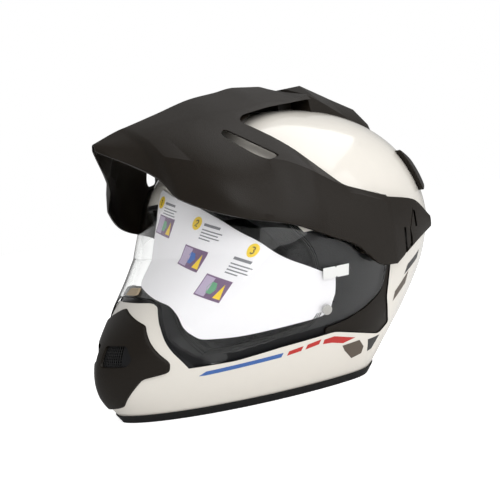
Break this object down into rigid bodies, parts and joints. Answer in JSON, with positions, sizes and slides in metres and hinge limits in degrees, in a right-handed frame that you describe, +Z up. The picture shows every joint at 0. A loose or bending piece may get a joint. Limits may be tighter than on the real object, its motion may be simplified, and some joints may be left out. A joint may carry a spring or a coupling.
{
  "type": "dual sport helmet",
  "caption": "Full-face dual sport helmet in gloss white with a long black peak, a clear tilting face shield with a paper card behind it, and vents.",
  "frame": {"origin": "centre of the bounding box's bottom: on the resting plane of the lower rim and the plane of symmetry", "axes": "+Z up out of the resting plane; the helmet looks along -Y; +X is the wearer's left"},
  "size_m": [0.27, 0.3474, 0.2685],
  "materials": {
    "white_gloss": "glossy white lacquer over a moulded shell",
    "black_plastic": "satin black moulded plastic",
    "tan_plastic": "satin tan moulded plastic",
    "black_rubber": "matt black rubber",
    "foam": "fine beaded black foam",
    "lining": "brushed knit lining over soft foam",
    "webbing": "woven black webbing",
    "steel": "plated steel",
    "clear_shield": "clear moulded shield",
    "card": "printed card",
    "paper": "bare white label",
    "mesh": "black wire mesh"
  },
  "bodies": {
    "helmet": {"outer_shell": "white_gloss", "base_trim": "black_rubber", "eyeport_seal": "black_rubber", "impact_liner": "foam", "crown_liner": "foam", "chin_liner": "foam", "crown_pad": "lining", "cheek_pad_left": "lining", "cheek_pad_right": "lining", "neck_roll": "lining", "chin_curtain": "lining", "breath_guard": "black_rubber", "chin_strap_left": "webbing", "chin_strap_right": "webbing", "strap_anchors": "steel", "pivot_plate_left": "black_plastic", "pivot_plate_right": "black_plastic", "pivot_cap_left": "black_plastic", "pivot_cap_right": "black_plastic", "side_panel_left": "black_plastic", "side_panel_right": "black_plastic", "peak": "black_plastic", "peak_bracket": "black_plastic", "top_vent": "black_plastic", "rear_vent_left": "black_plastic", "rear_vent_right": "black_plastic", "chin_vent_cover": "black_plastic", "chin_vent_mesh": "mesh"},
    "shield": {"face_shield": "clear_shield", "shield_card": "card", "shield_pins": "steel", "shield_label": "paper", "shield_tab": "tan_plastic"},
    "vent_slider": {"top_vent_slider": "black_plastic"},
    "vent_shutter": {"chin_vent_shutter": "black_plastic"},
    "ring": {"strap_ring": "steel"}
  },
  "joints": [
    {"name": "shield_tilt", "type": "hinge", "parent": "helmet", "child": "shield", "pos_m": [0, 0.0207, 0.126], "axis": [-1, 0, 0], "range_deg": [0, 33]},
    {"name": "top_vent_slide", "type": "slide", "parent": "helmet", "child": "vent_slider", "axis": [0, 0.9011, -0.4337], "range_m": [0, 0.0095]},
    {"name": "chin_vent_slide", "type": "slide", "parent": "helmet", "child": "vent_shutter", "axis": [0, 0, 1], "range_m": [0, 0.008]},
    {"name": "strap_ring_swing", "type": "hinge", "parent": "helmet", "child": "ring", "pos_m": [0.01, -0.0513, 0.01], "axis": [0, 1, 0], "range_deg": [-20, 20]}
  ]
}
